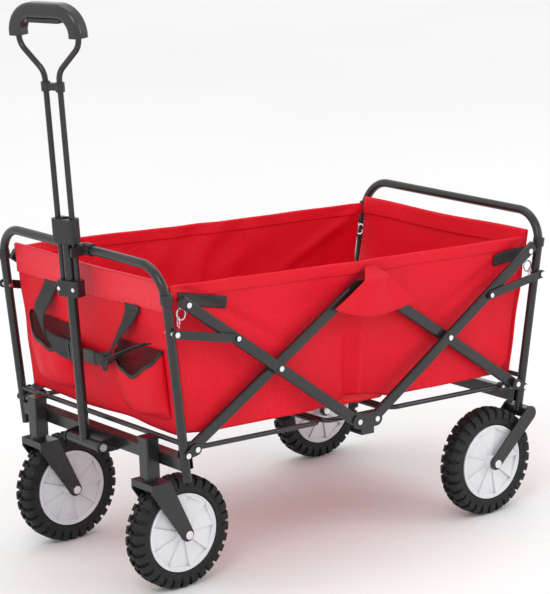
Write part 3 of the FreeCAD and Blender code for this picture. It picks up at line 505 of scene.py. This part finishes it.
def side_off(x, h):
    """How far a side wall stands outward of its plane; the arms pass 6 mm out."""
    share = (h - side_low(x)) / (side_high(x) - side_low(x))
    slack = 0.0055 * swell(x, h, 3.7, 0.13) + 0.0022 * swell(x, h, 9.1, 0.05) - 0.002
    pleat = 0.0065 * hump(x, 0.010, 0.011) - 0.009 * hump(x, -0.012, 0.013)
    pleat *= ease((0.75 - share) / 0.5)
    drape = -0.009 * hump(x, 0.008, 0.10) * ease(1 - share)
    line = (x + 0.30) * 0.55 - (0.235 - h)
    pull_front = 0.0055 * hump(line, 0.0, 0.012) * ease((-0.08 - x) / 0.2)
    line = (x - 0.33) * 0.5 + (0.235 - h)
    pull_rear = 0.0055 * hump(line, 0.0, 0.014) * ease((x - 0.1) / 0.2)
    hub_pull = -0.003 * math.sin((x * 60 - h * 50)) * hump(x, 0.02, 0.11) * hump(share, 0.8, 0.3)
    return min(0.0045, slack + pleat + drape - pull_front - pull_rear + hub_pull)


def side_point(x, h, side, lift=0.0):
    return x, side * (SIDE_Y + side_off(x, h) + lift), h


def make_side_wall(name, side):
    size = (0.768, SIDE_TOP - 0.026)

    def lie(a, b):
        # The edges lean and the cloth's height follows x, so x is found twice
        h = SIDE_TOP * b
        front, rear = side_edges(h)
        x = front + (rear - front) * a
        h = side_low(x) + (side_high(x) - side_low(x)) * b
        front, rear = side_edges(h)
        x = front + (rear - front) * a
        return side_point(x, h, side)

    wall = cut_sheet("side_cloth_" + name, LEVEL, size, (190, 64), lie, RED_CLOTH)
    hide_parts("side_panel_" + name)
    hem = make_side_hem(name, side)
    folds_with_frame(wall)
    make_corner_straps(name, side)


def make_side_hem(name, side):
    """The wall's top edge, folded over and sewn down."""
    depth = 0.020
    fold = 0.004
    length = 2 * depth + fold
    gap = 0.0013

    def lie(a, b):
        front, rear = side_edges(SIDE_TOP)
        x = front - 0.0008 + (rear - front + 0.0016) * a
        top = side_high(x)
        along = b * length
        if along < depth:
            h, lift = top - depth + along, gap
        elif along < depth + fold:
            turn = math.pi * (along - depth) / fold
            h, lift = top + gap * math.sin(turn), gap * math.cos(turn)
        else:
            h, lift = top - (along - depth - fold), -gap
        spot = side_point(x, min(h, top), side, lift)
        return spot[0], spot[1], h

    hem = cut_sheet("side_hem_" + name, LEVEL, (0.79, length), (150, 22), lie, RED_CLOTH)
    folds_with_frame(hem)
    rows = []
    front, rear = side_edges(SIDE_TOP)
    count = 150
    for i in range(count):
        x = front + 0.004 + (rear - front - 0.008) * i / (count - 1)
        h = side_high(x) - depth + 0.0035
        rows.append((side_point(x, h, side, gap + 0.001), (1, 0, 0), (0, side, 0)))
    for i in range(44):
        h = 0.036 + 0.21 * i / 43
        rows.append((side_point(SEAM_X, h, side, 0.0011), (0, 0, 1), (0, side, 0)))
    stitches = stitch_row("side_stitches_" + name, LEVEL, rows, THREAD, "front_frame")
    folds_with_frame(stitches)
    return hem


def make_corner_straps(name, side):
    """Webbing tabs sewn on the wall's top corners, each with its box of stitches."""
    tabs = (("front", -0.388, -0.289, 0.262, 0.2435), ("rear", 0.328, 0.398, 0.2405, 0.2485))
    for end, x0, x1, h0, h1 in tabs:
        def lie(a, b):
            x = x0 + (x1 - x0) * b
            h = h0 + (h1 - h0) * b + (a - 0.5) * 0.021
            return side_point(x, h, side, 0.0026)

        tab = cut_sheet(end + "_corner_tab_" + name, LEVEL, (0.021, x1 - x0), (6, 24), lie,
                        WEBBING, 0.0018)
        folds_with_frame(tab)
        rows = []
        inner = x1 - 0.004 if end == "front" else x0 + 0.004
        back = inner - 0.02 if end == "front" else inner + 0.02
        for i in range(6):
            share = i / 5
            x = inner + (back - inner) * share
            middle = h0 + (h1 - h0) * (x - x0) / (x1 - x0)
            for shift in (-0.0075, 0.0075, 0.015 * (share - 0.5)):
                rows.append((side_point(x, middle + shift, side, 0.0037), (1, 0, 0), (0, side, 0)))
        sewn = stitch_row(end + "_tab_stitches_" + name, LEVEL, rows, DARK_THREAD, "front_frame")
        folds_with_frame(sewn)


# Corner rings --------------------------------------------------------------------

def ring(mesh, centre, radius, wire, turn, stretch=1.0):
    """A wire ring, spun from a round section, in the XZ plane before its turn."""
    round_bm = bmesh.new()
    bmesh.ops.create_circle(round_bm, segments=10, radius=wire)
    bmesh.ops.rotate(round_bm, verts=round_bm.verts, matrix=Matrix.Rotation(math.pi, 3, "X"))
    bmesh.ops.translate(round_bm, verts=round_bm.verts, vec=(radius, 0, 0))
    bmesh.ops.spin(round_bm, geom=round_bm.edges[:] + round_bm.verts[:], cent=(0, 0, 0),
                   axis=(0, 1, 0), angle=2 * math.pi, steps=28, use_merge=True, use_duplicate=False)
    bmesh.ops.remove_doubles(round_bm, verts=round_bm.verts, dist=1e-6)
    bmesh.ops.scale(round_bm, verts=round_bm.verts, vec=(1, 1, stretch))
    bmesh.ops.rotate(round_bm, verts=round_bm.verts, matrix=turn)
    bmesh.ops.translate(round_bm, verts=round_bm.verts, vec=centre)
    bmesh.ops.recalc_face_normals(round_bm, faces=round_bm.faces)
    data = bpy.data.meshes.new("ring_blank")
    round_bm.to_mesh(data)
    round_bm.free()
    mesh.from_mesh(data)
    bpy.data.meshes.remove(data)


def make_corner_ring(end, name, side):
    """The ring and snap loop that tie the basket's corner to the post."""
    sign = -1 if end == "front" else 1
    x = sign * (0.387 if end == "front" else 0.404)
    h = 0.237 if end == "front" else 0.223
    mesh = bmesh.new()
    tilt = Matrix.Rotation(sign * 0.35, 3, "Y")
    ring(mesh, Vector((x, side * 0.2365, h)), 0.0085, 0.0013, tilt, 1.15)
    twist = Matrix.Rotation(math.radians(70), 3, "Z")
    ring(mesh, Vector((x + sign * 0.006, side * 0.2375, h - 0.013)), 0.0065, 0.0011, twist, 1.5)
    for vert in mesh.verts:
        vert.co = LEVEL @ vert.co
    piece = finished(end + "_corner_ring_" + name, mesh, FINISHES["bright_steel"])
    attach(piece, end + "_frame")


# Hub flaps -----------------------------------------------------------------------

def make_hub_flap(name, side):
    """The kite of cloth from the wall's top edge down over the upper hub."""
    apex = 0.269
    outer = 0.2647

    def lie(a, b):
        u = 2 * a - 1
        bottom = 0.209 - 0.008 * a - 0.0752 * a * (1 - a)
        x = (-0.081 + 0.180 * a) * (1 - b) + (0.023 + 0.008 * u) * b
        h = bottom + (apex - bottom) * b
        lean = ease((h - 0.246) / (apex - 0.246)) ** 1.3
        y = outer - (outer - SIDE_Y - 0.0035) * lean
        y += 0.0022 * math.cos(u * 5.2) * (1 - b) + 0.0012 * swell(x, h, 5.0, 0.03)
        return x, side * y, h

    flap = cut_sheet("hub_flap_" + name, LEVEL, (0.19, 0.108), (56, 36), lie, RED_CLOTH, 0.0018)
    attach(flap, "upper_hub")
    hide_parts("hub_flaps")
    rows = []
    for i in range(46):
        spot = lie(0.02 + 0.96 * i / 45, 0.045)
        rows.append(((spot[0], spot[1] + side * 0.0012, spot[2]), (1, 0, 0), (0, side, 0)))
    sewn = stitch_row("flap_stitches_" + name, LEVEL, rows, THREAD, "upper_hub")


# Link rivets ---------------------------------------------------------------------

def make_link_rivet(end, name, side):
    """The domed rivet where a link meets its falling arm."""
    sign = -1 if end == "front" else 1
    mesh = bmesh.new()
    bmesh.ops.create_uvsphere(mesh, u_segments=20, v_segments=12, radius=LINK_RIVET_RADIUS)
    bmesh.ops.bisect_plane(mesh, geom=mesh.verts[:] + mesh.edges[:] + mesh.faces[:], dist=1e-6,
                           plane_co=(0, 0, 0), plane_no=(0, side, 0), clear_inner=True)
    bmesh.ops.holes_fill(mesh, edges=[e for e in mesh.edges if e.is_boundary])
    bmesh.ops.scale(mesh, verts=mesh.verts, vec=(1, 0.45, 1))
    bmesh.ops.translate(mesh, verts=mesh.verts,
                        vec=(sign * LINK_RIVET_X, side * LINK_HEAD_Y, LINK_RIVET_RISE))
    for vert in mesh.verts:
        vert.co = LEVEL @ vert.co
    bmesh.ops.recalc_face_normals(mesh, faces=mesh.faces)
    piece = finished(end + "_link_rivet_" + name, mesh, FINISHES["bright_steel"])
    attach(piece, end + "_links")


# Floor pads ----------------------------------------------------------------------

def make_floor_pad(name, node, body):
    """A stiff board sewn into cloth, with a crowned top and rolled edges."""
    corners = [LEVEL.inverted() @ v.co for v in NODES[node].data.vertices]
    start = Vector([min(c[i] for c in corners) for i in range(3)])
    end = Vector([max(c[i] for c in corners) for i in range(3)])
    deep = end.z - start.z
    cuts, rim = 11, 0.012

    def row(t, low, high):
        """Places the grid's outer rows a rim's width from the edge."""
        if t < 1 / cuts:
            return low + t * cuts * rim
        if t > 1 - 1 / cuts:
            return high - (1 - t) * cuts * rim
        return low + rim + (t - 1 / cuts) / (1 - 2 / cuts) * (high - low - 2 * rim)

    mesh = bmesh.new()
    bmesh.ops.create_cube(mesh, size=1.0)
    bmesh.ops.subdivide_edges(mesh, edges=mesh.edges, cuts=cuts - 1, use_grid_fill=True)
    cut = mesh.loops.layers.uv.new("cut")
    for vert in mesh.verts:
        spot = vert.co + Vector((0.5, 0.5, 0.5))
        x, y = row(spot.x, start.x, end.x), row(spot.y, start.y, end.y)
        roll = 0.5 * deep * (1 - math.sqrt(max(0.0, 1 - (2 * spot.z - 1) ** 2)))
        across = min(1.0, spot.x / 0.02, (1 - spot.x) / 0.02)
        along = min(1.0, spot.y / 0.02, (1 - spot.y) / 0.02)
        inward_x, inward_y = (1 if spot.x < 0.5 else -1), (1 if spot.y < 0.5 else -1)
        x += roll * (1 - across) * inward_x
        y += roll * (1 - along) * inward_y
        if across < 1 and along < 1:
            x += 0.3 * rim * inward_x
            y += 0.3 * rim * inward_y
        edge = min(1.0, 6 * min(spot.x, 1 - spot.x), 9 * min(spot.y, 1 - spot.y))
        crown = 0.0018 * ease(edge) * (1 + swell(x, y, 2.0, 0.07))
        z = start.z + PAD_LIFT + deep * spot.z + (crown if spot.z > 0.99 else 0)
        vert.co = LEVEL @ Vector((x, y, z))
    for face in mesh.faces:
        for loop in face.loops:
            loop[cut].uv = (loop.vert.co.x, loop.vert.co.y)
    bmesh.ops.recalc_face_normals(mesh, faces=mesh.faces)
    pad = finished(name, mesh, RED_CLOTH)
    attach(pad, body)
    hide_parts(node)


# Front pockets and straps ----------------------------------------------------------

def make_pocket(name, middle):
    """A pouch with a sagging mouth and a net top on the front panel."""
    half = 0.068
    low = 0.042
    sign = 1 if middle > 0 else -1

    def rim(u):
        crumple = 0.004 * math.sin(7.5 * u + sign) * (1 - u * u)
        return 0.158 - 0.036 * (1 - u * u) ** 0.9 + 0.010 * sign * u + crumple

    def pouch(a, b):
        u = 2 * a - 1
        y = middle + u * half * (1 - 0.05 * math.sin(math.pi * b))
        rise = low + 0.008 * u * u + (rim(u) - low - 0.008 * u * u) * b
        full = (1 - u * u) ** 0.55
        out = end_out(y, rise, 1.0) + 0.0018
        out += full * (0.004 + 0.020 * math.sin(math.pi * (0.08 + 0.62 * b)) ** 0.8) * ease(b * 6)
        out += 0.0045 * swell(y, rise, 7.0 * sign, 0.035) * full
        out += 0.003 * math.sin(6.0 * u) * full * ease(b) * (1 - b)
        return out, y, rise

    def net(a, b):
        start = Vector(pouch(a, 1.0))
        y = start.y
        top = 0.170
        rise = start.z + (top - start.z) * b
        out = start.x + (end_out(y, top, 1.0) + 0.0025 - start.x) * b ** 0.8
        return out - 0.003 * math.sin(math.pi * b), y, rise

    bag = cut_sheet("pocket_" + name, FRONT, (0.19, 0.12), (44, 34), pouch, RED_CLOTH)
    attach(bag, "front_frame")
    mesh_top = cut_sheet("pocket_net_" + name, FRONT, (0.19, 0.06), (44, 13), net, NET, 0.0004)
    mesh_top.modifiers.clear()
    cords = mesh_top.modifiers.new("net_cords", "WIREFRAME")
    cords.thickness = 0.0012
    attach(mesh_top, "front_frame")

    def binding(a, b):
        spot = Vector(pouch(b, 1.0))
        return spot.x + 0.0008, spot.y, spot.z + (a - 0.5) * 0.007

    tape = cut_sheet("pocket_binding_" + name, FRONT, (0.007, 0.19), (2, 44), binding, WEBBING, 0.0026)
    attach(tape, "front_frame")
    rows = []
    for i in range(90):
        share = i / 89
        if share < 0.3:
            spot = pouch(0.012, 1 - share / 0.3)
            way = (0, 0, 1)
        elif share < 0.7:
            spot = pouch(0.012 + 0.976 * (share - 0.3) / 0.4, 0.02)
            way = (0, 1, 0)
        else:
            spot = pouch(0.988, (share - 0.7) / 0.3)
            way = (0, 0, 1)
        rows.append(((spot[0] + 0.0012, spot[1], spot[2]), way, (1, 0, 0)))
    sewn = stitch_row("pocket_stitches_" + name, FRONT, rows, THREAD, "front_frame")


def make_straps():
    """Two webbing straps from under the hem to the buckle, and the loose tail."""
    webbing_strap("panel_strap_far", FRONT,
                  [(-0.0125, 0.118, 0.236), (-0.004, 0.128, 0.212), (0.006, 0.142, 0.182),
                   (0.011, 0.131, 0.155), (0.010, 0.100, 0.133), (0.003, 0.062, 0.125),
                   (0.002, 0.026, 0.124)],
                  [(0, 1, 0.05), (0, 1, 0.1), (-0.15, 0.9, 0.35), (-0.1, 0.7, 0.8), (0, 0.35, 0.9),
                   (0, 0.05, 1), (0, 0, 1)],
                  0.038, "front_frame")
    webbing_strap("panel_strap_near", FRONT,
                  [(-0.0125, -0.126, 0.236), (-0.005, -0.122, 0.214), (0.004, -0.108, 0.190),
                   (0.010, -0.086, 0.160), (0.009, -0.066, 0.136), (0.003, -0.046, 0.125),
                   (0.002, -0.034, 0.124)],
                  [(0, 1, 0), (0, 1, -0.1), (-0.1, 0.9, -0.3), (-0.1, 0.8, -0.6), (0, 0.4, -0.9),
                   (0, 0.05, -1), (0, 0, -1)],
                  0.034, "front_frame")
    webbing_strap("panel_strap_tail", FRONT,
                  [(0.0035, -0.040, 0.126), (0.008, -0.070, 0.136), (0.012, -0.105, 0.153),
                   (0.010, -0.150, 0.172), (0.006, -0.182, 0.184)],
                  [(0.3, 0, 1), (0.8, 0, 0.5), (1, 0, 0.25), (1, 0, 0.2), (1, 0, 0.3)],
                  0.020, "front_frame")
    for name, y in (("far", 0.118), ("near", -0.126)):
        def fold(a, b):
            return -0.0108 + 0.0004 * math.sin(a * 9), y + (a - 0.5) * 0.040, 0.2385 - b * 0.014

        tab = cut_sheet("strap_anchor_" + name, FRONT, (0.040, 0.014), (8, 6), fold, WEBBING, 0.002)
        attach(tab, "front_frame")
    make_adjuster()


def make_adjuster():
    """The ladder that takes up the far strap's length."""
    mesh = bmesh.new()
    bmesh.ops.create_grid(mesh, x_segments=3, y_segments=1, size=0.5)
    bmesh.ops.inset_individual(mesh, faces=mesh.faces[:], thickness=0.085, use_even_offset=True)
    inner = [f for f in mesh.faces if f.calc_area() < 0.2 and len([e for e in f.edges if e.is_boundary]) == 0
             and f.calc_center_median().y ** 2 < 0.01 and f.calc_area() > 0.09]
    bmesh.ops.delete(mesh, geom=inner, context="FACES")
    bmesh.ops.solidify(mesh, geom=mesh.faces[:], thickness=0.12)
    bmesh.ops.scale(mesh, verts=mesh.verts, vec=(0.026, 0.030, 0.030))
    bmesh.ops.recalc_face_normals(mesh, faces=mesh.faces)
    bmesh.ops.bevel(mesh, geom=[e for e in mesh.edges if e.calc_face_angle(0) > 0.8], offset=0.0006,
                    segments=2, profile=0.5, affect="EDGES", material=-1)
    turn = FRONT @ Matrix.Translation((0.0055, 0.060, 0.125)) @ Matrix(
        ((0, 0, 1, 0), (1, 0, 0, 0), (0, 1, 0, 0), (0, 0, 0, 1)))
    for vert in mesh.verts:
        vert.co = turn @ vert.co
    bmesh.ops.recalc_face_normals(mesh, faces=mesh.faces)
    piece = finished("strap_adjuster", mesh, FINISHES["black_plastic"], smooth=False)
    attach(piece, "front_frame")


# Stage ---------------------------------------------------------------------------

def aim(place, target, roll=0.0):
    """A turned frame at the place whose -Z looks at the target."""
    back = (Vector(place) - Vector(target)).normalized()
    right = Vector((0, 0, 1)).cross(back).normalized()
    up = back.cross(right)
    rolled_right = right * math.cos(roll) + up * math.sin(roll)
    rolled_up = up * math.cos(roll) - right * math.sin(roll)
    turn = Matrix((rolled_right, rolled_up, back)).transposed().to_4x4()
    return Matrix.Translation(place) @ turn


def make_camera():
    azimuth, elevation = math.radians(-38.1), math.radians(15.1)
    target = Vector((CENTRE_SHIFT, 0, 0.300))
    back = Vector((math.sin(azimuth) * math.cos(elevation),
                   -math.cos(azimuth) * math.cos(elevation), math.sin(elevation)))
    data = bpy.data.cameras.new("studio_camera")
    data.lens = 145.73
    data.sensor_width = 36.0
    data.shift_x = 0.0019
    data.shift_y = 0.1069
    data.clip_end = 200.0
    camera = bpy.data.objects.new("studio_camera", data)
    bpy.context.scene.collection.objects.link(camera)
    camera.matrix_world = aim(target + back * 4.3966, target, math.radians(-1.8))
    bpy.context.scene.camera = camera


def soft_light(name, place, target, width, height, watts):
    data = bpy.data.lights.new(name, "AREA")
    data.shape = "RECTANGLE"
    data.size = width
    data.size_y = height
    data.energy = watts
    light = bpy.data.objects.new(name, data)
    bpy.context.scene.collection.objects.link(light)
    light.matrix_world = aim(place, target)


def make_studio():
    mesh = bmesh.new()
    bmesh.ops.create_grid(mesh, x_segments=8, y_segments=8, size=60.0)
    paper = hard_finish("pale_paper", (0.90, 0.90, 0.90), (0.93, 0.93, 0.93), (0.7, 0.8), 0.0001, 0.05)
    floor = finished("studio_floor", mesh, paper)
    world = bpy.data.worlds.new("studio_air")
    bpy.context.scene.world = world
    world.use_nodes = True
    world.node_tree.nodes["Background"].inputs["Color"].default_value = (1, 1, 1, 1)
    world.node_tree.nodes["Background"].inputs["Strength"].default_value = 1.0
    middle = Vector((0, 0, 0.35))
    soft_light("key_light", (-2.6, -2.2, 3.4), middle, 1.4, 1.4, 34)
    soft_light("top_light", (0.3, 0.6, 3.6), middle, 2.4, 1.0, 14)
    soft_light("side_light", (2.8, -2.8, 1.8), middle, 0.7, 2.0, 16)


# Making the wagon ----------------------------------------------------------------

bpy.context.scene.view_settings.view_transform = "Standard"
bpy.context.scene.cycles.max_bounces = 5
bpy.context.scene.cycles.diffuse_bounces = 2
bpy.context.scene.cycles.glossy_bounces = 2
bpy.context.scene.cycles.caustics_reflective = False
dress_frame()
make_camera()
make_studio()
make_end_panel("front", FRONT, 1.0)
make_end_panel("rear", REAR, 4.0)
for near_far, way in (("near", -1), ("far", 1)):
    make_side_wall(near_far, way)
    make_hub_flap(near_far, way)
    for which_end in ("front", "rear"):
        make_corner_ring(which_end, near_far, way)
        make_link_rivet(which_end, near_far, way)
make_floor_pad("floor_pad_front", "front_floor_board", "front_floor")
make_floor_pad("floor_pad_centre", "centre_floor_board", "lower_hub")
make_floor_pad("floor_pad_rear", "rear_floor_board", "rear_floor")
make_pocket("far", 0.132)
make_pocket("near", -0.134)
make_straps()
